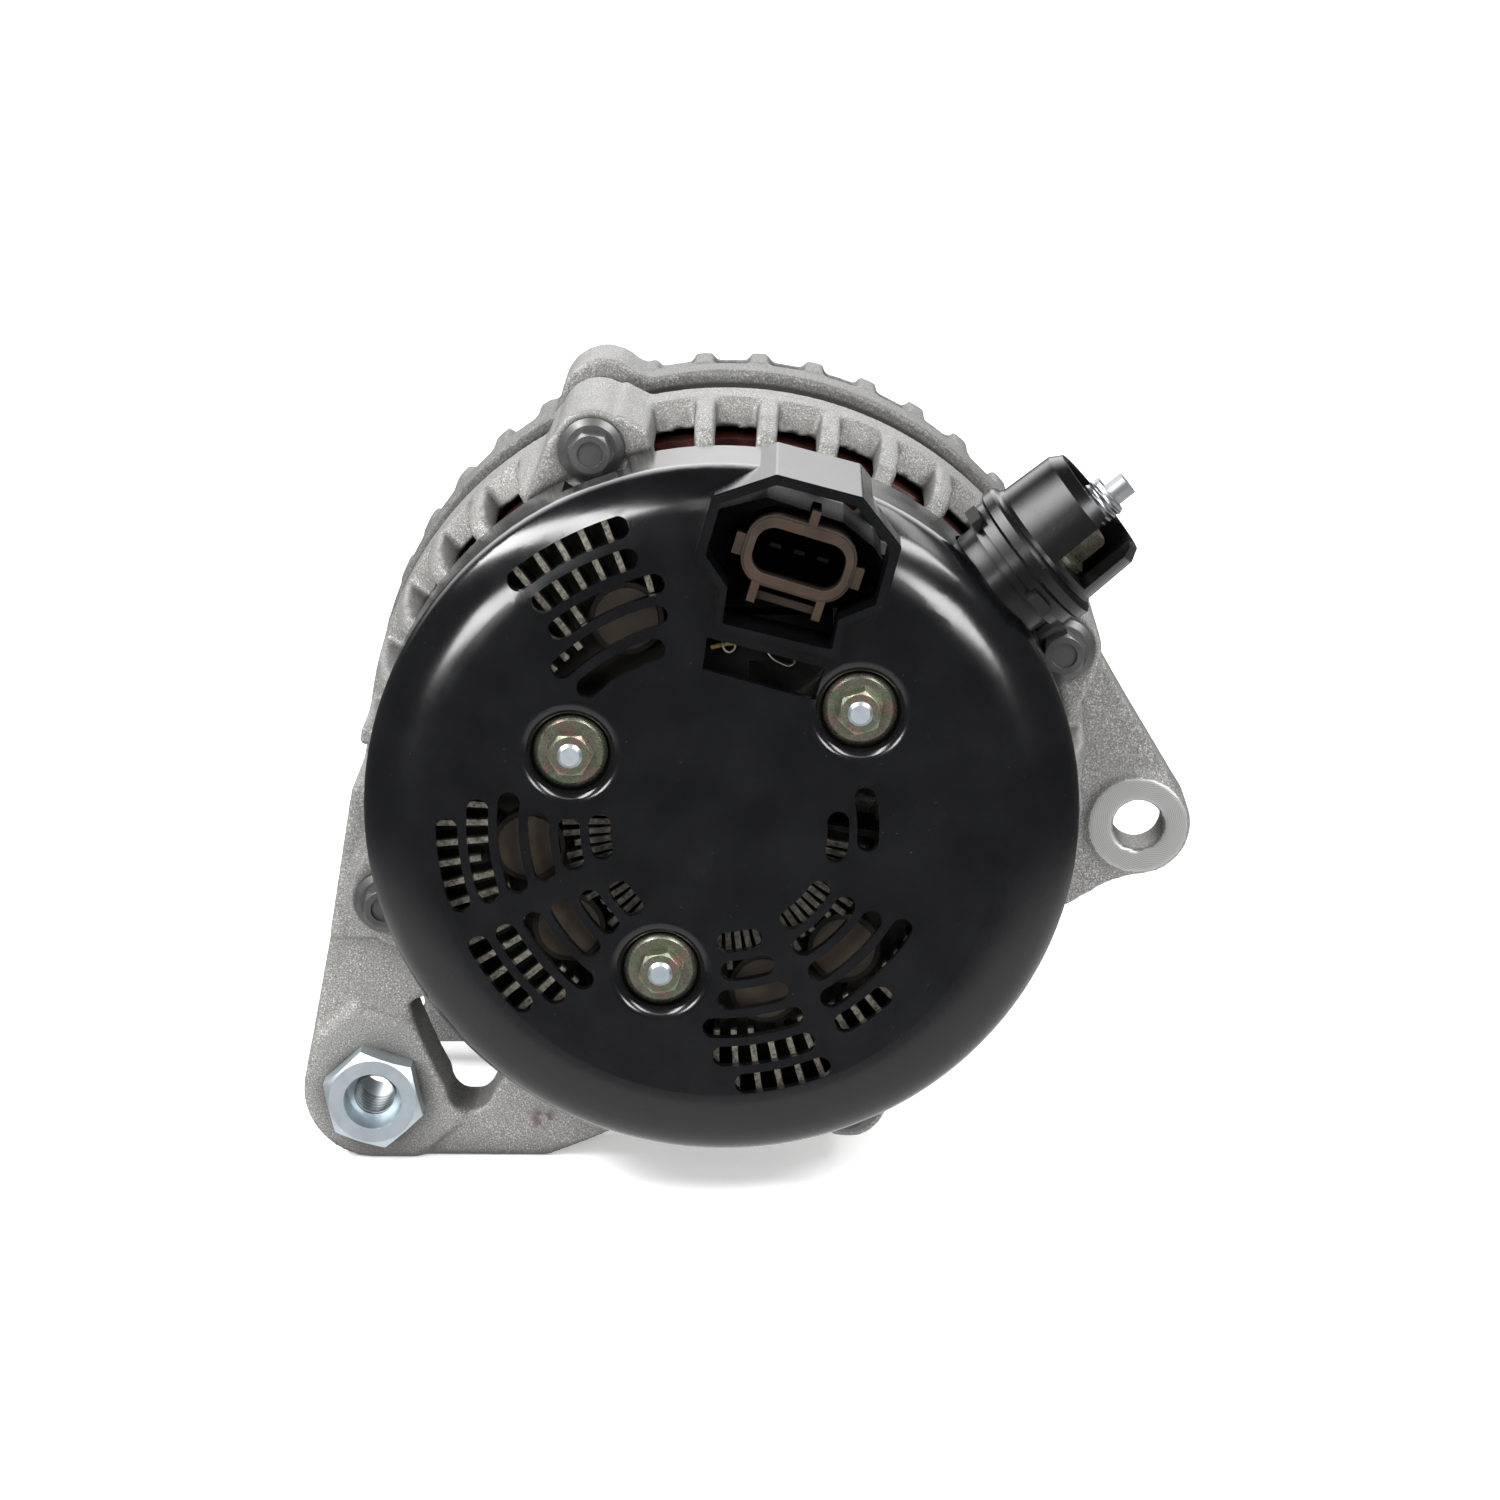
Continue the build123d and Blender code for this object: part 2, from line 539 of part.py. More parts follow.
def terminal_insulator():
    """Base plug, tabbed collar, wide ring and the split sleeve round the stud."""
    body = along_x(turned(
        (4.15, 60.1), (11.8, 60.1), (11.8, 74.6), (13.4, 74.6), (13.4, 76.4), (14.5, 76.6), (14.5, 79),
        (15.0, 79), (15.5, 79.6), (15.5, 81.6), (15.0, 82.2), (13.9, 82.7), (13.6, 83.5), (13.2, 94.4),
        (11.8, 96.8), (10.2, 96.8), (10.2, 84.4), (4.15, 84.4)))
    for deg in (20, 110, 200, 290):
        body += Rot(deg, 0, 0) * box(75.2, 77.6, -2.5, 2.5, 12, 16)
    slot = box(84.4, 99, -4.8, 4.8, 0, 20)
    return body - Rot(SLOT_TURN, 0, 0) * slot


SLOT_TURN = 115.5
save("terminal_insulator", radial(terminal_insulator(), TERMINAL_Y, TERMINAL_ANGLE))

# ---- regulator and brush gear --------------------------------------------------------------

REGULATOR = ((-4.5, 43.0), (24.0, 43.0), (32.0, 41.5), (34.0, 48.0), (30.0, 55.0), (24.0, 60.0),
             (9.0, 65.0), (-1.0, 62.5), (-4.2, 55.0))
CONNECTOR = (15.3, 54.6)
CONNECTOR_TURN = -17.0


def in_connector(sketch):
    return Pos(*CONNECTOR) * Rot(0, 0, CONNECTOR_TURN) * sketch


oval = RectangleRounded(22, 14.4, 5.6)
connector = prism(in_connector(oval), 0.5, 7.98) + prism(in_connector(offset(oval, -0.5)), 0, 0.5)
connector += prism(in_connector(Pos(0.6, 7.9) * Rectangle(1.8, 4.4)), 0.2, 7.98)
for side in (-1, 1):
    connector += prism(in_connector(Pos(11.6 * side, -0.6) * Rectangle(2.6, 4.4)), 1.0, 7.98)
    connector += prism(in_connector(Pos(6.6 * side, -8.4) * Rectangle(1.7, 5.0)), 0.3, 7.98)
connector += prism(in_connector(Pos(0, -9.4) * Rectangle(12.4, 1.6)), 1.8, 7.98)
connector -= prism(in_connector(RectangleRounded(18, 9.4, 3.6)), -1, 6.5)
pins = []
for k in (-1, 0, 1):
    blade = prism(in_connector(Pos(4.8 * k, 0.3) * Rectangle(2.2, 0.8)), 4.2, 12)
    connector -= prism(in_connector(Pos(4.8 * k, 0.3) * Rectangle(2.24, 0.84)), 5, 9)
    pins.append(blade)
save("regulator_connector", connector)
save("connector_pins", *pins)

regulator = prism(make_face(Polyline(*REGULATOR, close=True)), 8, 23.98)
for k in (-1, 0, 1):
    regulator -= prism(in_connector(Pos(4.8 * k, 0.3) * Rectangle(2.24, 0.84)), 7, 12.02)
sink = prism(make_face(Polyline(*REGULATOR, close=True)), 24, 26)
for k in range(9):
    sink += box(-1.5 + 3 * k, 0.0 + 3 * k, 26, 29.5, 44, 57.5)
regulator_screws = []
for x, z in REGULATOR_SCREWS:
    ear = make_face(Polyline((x, z - 4.2), (14, 50), (14, 58), (x, z + 4.2), close=True))
    ear += Pos(x, z) * Circle(4.2)
    regulator += prism(ear, 14, 23.98)
    sink += prism(ear, 24, 26)
for x, z in REGULATOR_SCREWS:
    regulator -= tube(0, 2.1, 7, 25, (x, z))
    regulator -= tube(0, 4.2, 7, 14, (x, z))
    sink -= tube(0, 2.1, 20, 30, (x, z))
    screw = tube(0, 3.6, 11.4, 13.98, (x, z)) + tube(0, 2.0, 13.9, 33.8, (x, z))
    regulator_screws.append(screw - prism(hexagon(2.5, 0, (x, z)), 11, 12.8))
save("regulator", regulator)
save("regulator_heat_sink", sink)
save("regulator_screws", *regulator_screws)

BRUSH_TOP = 22.0
BRUSH_HALF_X, BRUSH_HALF_Y = 3.0, 2.1
GUARD_R = 11.4
holder = box(-5.6, 5.6, 8.5, 24.2, 9, 33) + box(-4.4, 22.0, 8.5, 23.98, 32, 41.4)
holder += tube(0, GUARD_R, 8.5, 24.2)
holder -= tube(0, 9.2, 7, 25)
brush_names = ("brush_rear", "brush_front")
for name, y in zip(brush_names, BRUSH_Y):
    channel_x, channel_y = BRUSH_HALF_X + 0.1, BRUSH_HALF_Y + 0.1
    holder -= box(-channel_x, channel_x, y - channel_y, y + channel_y, 5, 31)
    brush = box(-BRUSH_HALF_X, BRUSH_HALF_X, y - BRUSH_HALF_Y, y + BRUSH_HALF_Y, 6, BRUSH_TOP)
    save(name, brush - tube(0, SLIP_RING_R + RUN, 5, 30))
    coil = Pos(0, y, BRUSH_TOP + 0.3) * Helix(1.6, 8.0, 1.5)
    wire = sweep(Plane(coil @ 0, z_dir=coil % 0) * Circle(0.25), coil, is_frenet=True)
    save(name.replace("brush", "brush_spring"), wire)
save("brush_holder", holder)

# ---- rotor ---------------------------------------------------------------------------------

shaft = turned((0, 9.5), (4, 9.5), (4, 26), (REAR_JOURNAL_R, 26.5), (REAR_JOURNAL_R, 38), (7, 38), (7, 42),
               (10.5, 42), (10.5, 52.7), (SHAFT_R, 52.7), (SHAFT_R, 92.3), (10.5, 92.3), (10.5, 98),
               (SHAFT_R, 98), (SHAFT_R, 134), (7.9, 135), (7.9, 146), (7.0, 147), (0, 147))
shaft -= prism(hexagon(8), 139, 148)
save("shaft", shaft)

ring_mould = tube(4.01, 5.4, 9.6, 25.5) + tube(4.01, 6.8, 9.6, 10.3) + tube(4.01, 6.8, 15.75, 17.25)
save("slip_ring_insulator", ring_mould + tube(4.01, 6.8, 22.7, 25.5))
save("slip_ring_rear", tube(5.42, SLIP_RING_R, 10.32, 15.73))
save("slip_ring_front", tube(5.42, SLIP_RING_R, 17.27, 22.68))

CLAWS = 8


def claw_pole(root_y, tip_y, start):
    """A disc with a half core, and fingers that narrow and thin out towards their tips."""
    back = 1 if tip_y > root_y else -1
    disc_y = root_y + 9 * back
    core_y = (root_y + tip_y) / 2 - 0.01 * back
    lo, hi = sorted((root_y, disc_y))
    pole = tube(0, 30, lo, hi)
    lo, hi = sorted((root_y, core_y))
    pole += tube(0, 20, lo, hi)
    end_y = tip_y - back
    finger_shape = turned((25, root_y), (49.5, root_y), (ROTOR_R, root_y + 2.5 * back),
                          (ROTOR_R, end_y), (47, end_y), (36.5, disc_y), (25, disc_y))
    plan = make_face(Polyline((-7.3, root_y), (7.3, root_y), (2.2, tip_y), (-2.2, tip_y), close=True))
    finger = Pos(0, 0, 24) * extrude(plan, 30) & finger_shape
    for piece in around(finger, CLAWS, start):
        pole += piece
    return pole - tube(0, SHAFT_R + 0.005, root_y - 60, root_y + 60)


save("rear_pole", claw_pole(ROTOR_Y0, ROTOR_Y1, 0))
save("front_pole", claw_pole(ROTOR_Y1, ROTOR_Y0, 360 / CLAWS / 2))
bobbin = tube(20.05, 21.3, 63.1, 81.9) + tube(20.05, 36.2, 63.1, 64.2) + tube(20.05, 36.2, 80.8, 81.9)
save("coil_bobbin", bobbin)
save("field_coil", tube(21.35, 35.8, 64.25, 80.75))


def fan(disc_y0, disc_y1, blade_y0, blade_y1, count, lean):
    """A pressed-steel disc with curved blades standing up round its edge."""
    body = tube(10.6, 42, disc_y0, disc_y1)
    blade = Pos(26, 17.5 * lean) * (Circle(19.0) - Circle(17.7)) & Pos(40, 5 * lean) * Rectangle(20, 22)
    for k in range(count):
        turn = Rot(0, 0, 360 / count * k)
        body += prism(turn * (blade & (Circle(49.5) - Circle(31))), blade_y0, blade_y1)
    return body


save("rear_fan", fan(52.75, 53.95, 45.2, 53.95, 11, 1))
save("front_fan", fan(91.05, 92.25, 91.05, 95.4, 12, -1))

# ---- pulley --------------------------------------------------------------------------------

GROOVES, GROOVE_PITCH, GROOVE_DEPTH = 6, 3.56, 2.9
PULLEY_Y0, PULLEY_Y1 = 119.0, 144.0
rim = [(PULLEY_R, PULLEY_Y0), (PULLEY_R, BELT_Y - GROOVES / 2 * GROOVE_PITCH)]
for k in range(GROOVES):
    y = BELT_Y + (k - GROOVES / 2) * GROOVE_PITCH
    rim += [(PULLEY_R, y + 0.35), (PULLEY_R - GROOVE_DEPTH, y + 1.45),
            (PULLEY_R - GROOVE_DEPTH, y + GROOVE_PITCH - 1.45), (PULLEY_R, y + GROOVE_PITCH - 0.35)]
rim += [(PULLEY_R, PULLEY_Y1), (21.5, PULLEY_Y1), (20.5, 135), (18, 134), (SHAFT_R + 0.01, 134),
        (SHAFT_R + 0.01, PULLEY_Y0), (14, PULLEY_Y0), (14, 127), (22, 127), (22, PULLEY_Y0)]
save("pulley", turned(*rim))
save("pulley_spacer", tube(SHAFT_R + 0.01, 12.2, 112.02, 118.98))
pulley_nut = tube(0, 15, 134.02, 136) + Rot(180, 0, 0) * hex_head(24, -143.5, -136)
save("pulley_nut", pulley_nut - tube(0, SHAFT_R + 0.01, 133, 135.1) - tube(0, 7.92, 133, 145))
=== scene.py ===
"""Looks for the car alternator: materials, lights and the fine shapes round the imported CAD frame."""
import json
from math import cos, pi, radians, sin

import bpy
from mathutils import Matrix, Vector


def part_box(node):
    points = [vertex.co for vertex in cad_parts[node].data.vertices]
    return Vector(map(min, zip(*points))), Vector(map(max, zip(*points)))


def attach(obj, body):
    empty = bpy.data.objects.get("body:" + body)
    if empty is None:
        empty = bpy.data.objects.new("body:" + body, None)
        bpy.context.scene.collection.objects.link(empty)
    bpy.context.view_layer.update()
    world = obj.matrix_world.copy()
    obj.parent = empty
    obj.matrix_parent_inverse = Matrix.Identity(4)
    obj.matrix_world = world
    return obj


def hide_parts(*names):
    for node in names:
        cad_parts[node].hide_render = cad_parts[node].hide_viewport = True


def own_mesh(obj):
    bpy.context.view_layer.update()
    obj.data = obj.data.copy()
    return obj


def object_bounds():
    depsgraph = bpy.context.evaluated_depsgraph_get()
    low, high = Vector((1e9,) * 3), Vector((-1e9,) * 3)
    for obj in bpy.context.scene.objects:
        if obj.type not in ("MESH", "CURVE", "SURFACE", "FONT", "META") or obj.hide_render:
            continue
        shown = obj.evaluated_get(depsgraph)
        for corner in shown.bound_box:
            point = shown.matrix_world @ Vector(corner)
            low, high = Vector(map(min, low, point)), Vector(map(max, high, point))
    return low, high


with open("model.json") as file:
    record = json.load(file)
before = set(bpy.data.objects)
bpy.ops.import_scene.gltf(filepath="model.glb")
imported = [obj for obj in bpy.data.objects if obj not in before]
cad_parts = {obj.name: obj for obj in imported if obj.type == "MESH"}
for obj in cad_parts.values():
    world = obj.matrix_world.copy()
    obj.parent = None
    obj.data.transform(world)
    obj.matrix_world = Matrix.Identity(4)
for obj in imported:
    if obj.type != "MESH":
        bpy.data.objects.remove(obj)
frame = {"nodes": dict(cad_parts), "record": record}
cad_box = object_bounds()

MM = 0.001
NODES = frame["nodes"]

# Depths are millimetres along Y, places are millimetres across X and Z.
COVER_FACE_MM = -131.5
NUT_FLANGE_MM = COVER_FACE_MM + 2.2
FIN_TOP_MM = COVER_FACE_MM + 5.6
WIRE_MM = COVER_FACE_MM + 7.0
TERMINAL_MM = COVER_FACE_MM + 19.0
FRONT_RIM_MM = COVER_FACE_MM + 78.8
EAR_FACE_MM = COVER_FACE_MM + 80.5
AXIS_MM = (0.0, 0.0)
EAR_MM, EAR_FACE_R_MM = (90.0, -24.7), 11.05
PIVOT_MM = (-73.8, -69.5)
STAIN_MM, STAIN_R_MM = (-38.5, -76.0), 1.5
# Radii of the painted shade on the front bracket's rim face and of the painted shadow line in the gap
# between the brackets.
RIM_R_MM, GAP_SHADOW_R_MM = 77.0, 73.7
INNER_FINS_R_MM, OUTER_FINS_R_MM = 32.0, 40.0
CAST_VOXEL_MM = 0.75
TERMINAL_ANGLE, STUD_END_R_MM = radians(39.7), 94.0
PIVOT_LEAD_MM = 3.5
THIN_WIRE_MM, TAIL_WIRE_MM = 0.45, 0.9
LAMINATION_MM, TOOL_FEED_MM = 0.5, 0.42


# ---- shader building -----------------------------------------------------------------------

class Graph:
    """A node tree built from short calls."""

    def __init__(self, tree):
        self.nodes = tree.nodes
        self.links = tree.links

    def add(self, kind, **settings):
        node = self.nodes.new(kind)
        for key, value in settings.items():
            setattr(node, key, value)
        return node

    def set(self, node, socket, value):
        """Puts a number or colour on a socket, or links another node's output to it."""
        target = node.inputs[socket]
        if isinstance(value, bpy.types.NodeSocket):
            self.links.new(value, target)
        else:
            target.default_value = value
        return node

    def math(self, kind, a, b=0.0, clamp=False):
        node = self.add("ShaderNodeMath", operation=kind, use_clamp=clamp)
        self.set(node, 0, a)
        self.set(node, 1, b)
        return node.outputs[0]

    def noise(self, size_mm, detail=3.0, roughness=0.5):
        """Soft random clouds from 0 to 1."""
        node = self.add("ShaderNodeTexNoise")
        self.set(node, "Vector", self.place)
        self.set(node, "Scale", 1 / (size_mm * MM))
        self.set(node, "Detail", detail)
        self.set(node, "Roughness", roughness)
        return node.outputs["Fac"]

    def cells(self, size_mm):
        """Distance to the nearest of many scattered points."""
        node = self.add("ShaderNodeTexVoronoi")
        self.set(node, "Vector", self.place)
        self.set(node, "Scale", 1 / (size_mm * MM))
        return node.outputs["Distance"]

    def fit(self, value, lo, hi, to_lo, to_hi):
        """Carries lo..hi over to to_lo..to_hi, and holds still beyond both ends."""
        node = self.add("ShaderNodeMapRange")
        for socket, number in zip(range(5), (value, lo, hi, to_lo, to_hi)):
            self.set(node, socket, number)
        return node.outputs[0]

    def ramp(self, value, *stops):
        """A colour read from (place, colour) stops."""
        node = self.add("ShaderNodeValToRGB")
        self.set(node, "Fac", value)
        ramp = node.color_ramp
        while len(ramp.elements) < len(stops):
            ramp.elements.new(0.5)
        for element, (at, colour) in zip(ramp.elements, stops):
            element.position = at
            element.color = (*colour, 1)
        return node.outputs["Color"]

    def mix(self, factor, a, b):
        """Colour a where the factor is 0, colour b where it is 1."""
        node = self.add("ShaderNodeMix", data_type="RGBA")
        self.set(node, 0, factor)
        self.set(node, 6, a if isinstance(a, bpy.types.NodeSocket) else (*a, 1))
        self.set(node, 7, b if isinstance(b, bpy.types.NodeSocket) else (*b, 1))
        return node.outputs[2]

    def blend(self, factor, a, b):
        """Number a where the factor is 0, number b where it is 1."""
        node = self.add("ShaderNodeMix", data_type="FLOAT")
        self.set(node, 0, factor)
        self.set(node, 2, a)
        self.set(node, 3, b)
        return node.outputs[0]

    def split(self, vector):
        node = self.add("ShaderNodeSeparateXYZ")
        self.set(node, 0, vector)
        return node.outputs


NEAR_SAMPLES = 6
SOCKET_NAMES = {
    "colour": "Base Color",
    "roughness": "Roughness",
    "normal": "Normal",
    "metallic": "Metallic",
}


class Shader(Graph):
    """A Principled material placed by object-space position in metres."""

    def __init__(self, name, colour=(0.5, 0.5, 0.5), roughness=0.5, metallic=0.0):
        self.material = bpy.data.materials.new(name)
        self.material.use_nodes = True
        super().__init__(self.material.node_tree)
        self.bsdf = self.nodes["Principled BSDF"]
        self.set(self.bsdf, "Base Color", (*colour, 1))
        self.set(self.bsdf, "Roughness", roughness)
        self.set(self.bsdf, "Metallic", metallic)
        self.place = self.add("ShaderNodeTexCoord").outputs["Object"]

    def depth(self):
        return self.split(self.place)[1]

    def beyond(self, depth_mm, over_mm, share=1.0):
        """0 up to a depth, rising to a share over a short way past it."""
        return self.fit(self.depth(), depth_mm * MM, (depth_mm + over_mm) * MM, 0.0, share)

    def before(self, depth_mm, over_mm, share=1.0):
        """A share up to a depth, falling to 0 over a short way past it."""
        return self.fit(self.depth(), depth_mm * MM, (depth_mm + over_mm) * MM, share, 0.0)

    def within(self, radius_mm, over_mm, centre_mm=AXIS_MM, share=1.0):
        """A share inside a circle about a centre, falling to 0 over a short way past it."""
        return self.fit(self.ring_distance(centre_mm), radius_mm, radius_mm + over_mm, share, 0.0)

    def ring_distance(self, centre_mm, across=(0, 2)):
        """Distance in millimetres from a line through a centre, square to two axes."""
        parts = self.split(self.place)
        legs = [self.math("SUBTRACT", parts[k], c * MM) for k, c in zip(across, centre_mm)]
        squares = [self.math("MULTIPLY", leg, leg) for leg in legs]
        return self.math("MULTIPLY", self.math("SQRT", self.math("ADD", *squares)), 1000)

    def crevice(self, reach_mm):
        """0 in the open, towards 1 in corners and recesses; the materials use it to paint shade there."""
        node = self.add("ShaderNodeAmbientOcclusion", samples=NEAR_SAMPLES)
        self.set(node, "Distance", reach_mm * MM)
        return self.math("SUBTRACT", 1.0, node.outputs["AO"])

    def soft_edges(self, radius_mm):
        """A normal that rounds off sharp edges."""
        node = self.add("ShaderNodeBevel", samples=NEAR_SAMPLES)
        self.set(node, "Radius", radius_mm * MM)
        return node.outputs["Normal"]

    def bump(self, height, depth_mm, strength=1.0, under=None):
        node = self.add("ShaderNodeBump")
        self.set(node, "Height", height)
        self.set(node, "Distance", depth_mm * MM)
        self.set(node, "Strength", strength)
        if under:
            self.set(node, "Normal", under)
        return node.outputs["Normal"]

    def out(self, **sockets):
        """Puts values on the shader's own sockets, and gives back the finished material."""
        for key, value in sockets.items():
            self.set(self.bsdf, SOCKET_NAMES[key], value)
        return self.material


def cover_plastic(name="black_plastic", base=(0.0018, 0.0019, 0.0023), rough=0.17, gloss=0.5):
    """Glossy moulded black with faint flow clouds, fine scuffs and a little dust, and painted shade that
    turns it near black and rough in deep hollows.
    """
    s = Shader(name)
    s.bsdf.inputs["IOR"].default_value = 1.52
    s.bsdf.inputs["Specular IOR Level"].default_value = gloss
    cloud = s.noise(11, 3)
    dust = s.fit(s.cells(2.6), 0.02, 0.045, 1.0, 0.0)
    scuff = s.fit(s.noise(1.6, 5, 0.75), 0.6, 0.8, 0.0, 1.0)
    colour = s.mix(s.fit(cloud, 0.3, 0.7, 0, 1), base, tuple(c * 1.6 for c in base))
    colour = s.mix(s.math("MULTIPLY", dust, 0.12), colour, (0.3, 0.3, 0.3))
    even = s.fit(cloud, 0.25, 0.75, rough - 0.03, rough + 0.04)
    roughness = s.math("ADD", even, s.math("MULTIPLY", scuff, 0.1))
    # Painted shade: deep hollows turn near black, metallic and rough.
    hidden = s.fit(s.crevice(9), 0.35, 0.75, 0.0, 1.0)
    colour = s.mix(hidden, colour, (0.0006, 0.0006, 0.0007))
    roughness = s.blend(hidden, roughness, 0.75)
    return s.out(colour=colour, roughness=roughness, metallic=hidden,
                 normal=s.bump(s.noise(0.5, 2), 0.006, 0.25))


def cast_aluminium():
    """Sand-grained casting with painted shade in its corners, on the front bracket's rim face and in the
    gap between the brackets, and the ear's face turned bright.
    """
    s = Shader("cast_aluminium", metallic=0.3)
    grain = s.noise(0.34, 3, 0.7)
    speck = s.cells(0.62)
    coarse = s.noise(8, 4, 0.6)
    colour = s.ramp(grain, (0.32, (0.068, 0.068, 0.063)), (0.47, (0.158, 0.157, 0.149)),
                    (0.58, (0.245, 0.244, 0.232)), (0.70, (0.56, 0.56, 0.54)))
    colour = s.mix(s.fit(coarse, 0.35, 0.68, 0.0, 0.4), colour, (0.135, 0.132, 0.125))
    # Painted shade on the front bracket's rim face, under the rear bracket's overhang.
    rim = s.math("MULTIPLY", s.within(RIM_R_MM, 2.0, share=0.42), s.beyond(FRONT_RIM_MM - 1.0, 1.0))
    colour = s.mix(rim, colour, (0.02, 0.02, 0.018))
    # Painted shadow: a dark line in the gap between the brackets, seen over the rear bracket's rim.
    gap_shadow = s.math("MULTIPLY", s.within(GAP_SHADOW_R_MM, 0.7, share=0.95), s.before(FRONT_RIM_MM + 0.6, 0.4))
    gap_shadow = s.math("MULTIPLY", gap_shadow, s.beyond(FRONT_RIM_MM - 1.0, 0.5))
    colour = s.mix(gap_shadow, colour, (0.01, 0.01, 0.009))
    # Painted shade in corners and recesses.
    deep = s.fit(s.crevice(9), 0.12, 0.62, 0.0, 0.9)
    colour = s.mix(deep, colour, (0.045, 0.042, 0.037))
    blot = s.math("MULTIPLY", s.within(STAIN_R_MM, 2.1, STAIN_MM), s.fit(grain, 0.4, 0.55, 0.2, 1.0))
    stain = s.math("MULTIPLY", blot, s.fit(s.noise(1.8, 3), 0.42, 0.55, 0.1, 0.9))
    colour = s.mix(stain, colour, (0.06, 0.016, 0.02))
    ear = s.math("MULTIPLY", s.within(EAR_FACE_R_MM, 0.15, EAR_MM), s.before(EAR_FACE_MM + 0.1, 0.1))
    tool_centre = (EAR_MM[0] + 3.5, EAR_MM[1] + 2.0)
    rings = s.math("SINE", s.math("MULTIPLY", s.ring_distance(tool_centre), 2 * pi / TOOL_FEED_MM))
    turned = s.mix(s.fit(rings, -1, 1, 0, 1), (0.30, 0.30, 0.30), (0.44, 0.44, 0.435))
    colour = s.mix(ear, colour, turned)
    height = s.math("ADD", s.math("MULTIPLY", grain, 0.6), s.math("MULTIPLY", speck, 0.4))
    height = s.blend(ear, height, s.math("MULTIPLY", rings, 0.05))
    roughness = s.blend(ear, s.fit(grain, 0.3, 0.7, 0.6, 0.42), 0.34)
    return s.out(colour=colour, roughness=roughness, metallic=s.blend(ear, 0.3, 0.6),
                 normal=s.bump(height, 0.17, 0.6, s.soft_edges(0.8)))


def metal(name, light, dark, rough, metallic=1.0, edge_mm=0.1):
    """Bare or plated metal: faint clouds, fine grain, painted shade in its corners."""
    s = Shader(name, metallic=metallic)
    cloud = s.noise(4.8, 3)
    fine = s.noise(0.24, 2)
    colour = s.mix(s.fit(cloud, 0.35, 0.65, 0, 1), dark, light)
    # Painted shade in corners.
    colour = s.mix(s.fit(s.crevice(1.8), 0.35, 0.9, 0.0, 0.7), colour, tuple(c * 0.25 for c in dark))
    return s.out(colour=colour, roughness=s.fit(fine, 0.25, 0.75, rough - 0.05, rough + 0.07),
                 normal=s.bump(fine, 0.004, 0.3, s.soft_edges(edge_mm)))


def chromate():
    """Olive passivated zinc with drifting green and pink tints, and painted shade on the cover nuts'
    flanges down in their pockets and in small corners.
    """
    s = Shader("yellow_chromate", metallic=0.9)
    colour = s.ramp(s.noise(4.5, 3), (0.30, (0.15, 0.145, 0.11)), (0.44, (0.24, 0.23, 0.18)),
                    (0.52, (0.16, 0.20, 0.13)), (0.60, (0.26, 0.18, 0.15)), (0.74, (0.22, 0.21, 0.175)))
    # Painted shade on the cover nuts' flanges, which sit down in their pockets.
    flange = s.math("MULTIPLY", s.beyond(NUT_FLANGE_MM - 0.25, 0.5, 0.6), s.before(NUT_FLANGE_MM + 5, 1))
    colour = s.mix(flange, colour, (0.03, 0.03, 0.024))
    # Painted shade in small corners.
    colour = s.mix(s.fit(s.crevice(1.4), 0.35, 0.8, 0.0, 0.9), colour, (0.012, 0.012, 0.008))
    return s.out(colour=colour, roughness=s.fit(s.noise(0.4, 2), 0.3, 0.7, 0.24, 0.36),
                 normal=s.bump(s.noise(0.5, 3), 0.002, 0.25, s.soft_edges(0.05)))


def plastic(name, colour, rough, hollow_mm=2.5, gloss=0.5):
    """Moulded plastic with painted shade that turns it dark in its hollows."""
    s = Shader(name)
    s.bsdf.inputs["Specular IOR Level"].default_value = gloss
    fine = s.noise(0.4, 3)
    dark, light = (tuple(c * share for c in colour) for share in (0.75, 1.2))
    shade = s.mix(s.fit(s.noise(9, 3), 0.3, 0.7, 0, 1), dark, light)
    # Painted shade in hollows.
    hollow = s.fit(s.crevice(hollow_mm), 0.3, 0.75, 0.0, 0.95)
    shade = s.mix(hollow, shade, tuple(c * 0.08 for c in colour))
    return s.out(colour=shade, roughness=s.fit(fine, 0.3, 0.7, rough - 0.06, rough + 0.06), metallic=hollow,
                 normal=s.bump(fine, 0.015, 0.4, s.soft_edges(0.25)))


def socket_plastic():
    """Brown moulded plastic, pale at the socket's lip, with painted shade turning it black down inside."""
    s = Shader("brown_plastic")
    s.bsdf.inputs["Specular IOR Level"].default_value = 0.25
    fine = s.noise(0.4, 3)
    shade = s.mix(s.fit(s.noise(5, 3), 0.3, 0.7, 0, 1), (0.019, 0.0115, 0.0072), (0.032, 0.0203, 0.0132))
    # Painted shade: black down inside the socket.
    inside = s.beyond(COVER_FACE_MM + 0.6, 3.0)
    shade = s.mix(inside, shade, (0.0006, 0.0005, 0.0004))
    roughness = s.blend(inside, s.fit(fine, 0.3, 0.7, 0.34, 0.46), 0.85)
    return s.out(colour=shade, roughness=roughness, metallic=inside,
                 normal=s.bump(fine, 0.015, 0.4, s.soft_edges(0.3)))


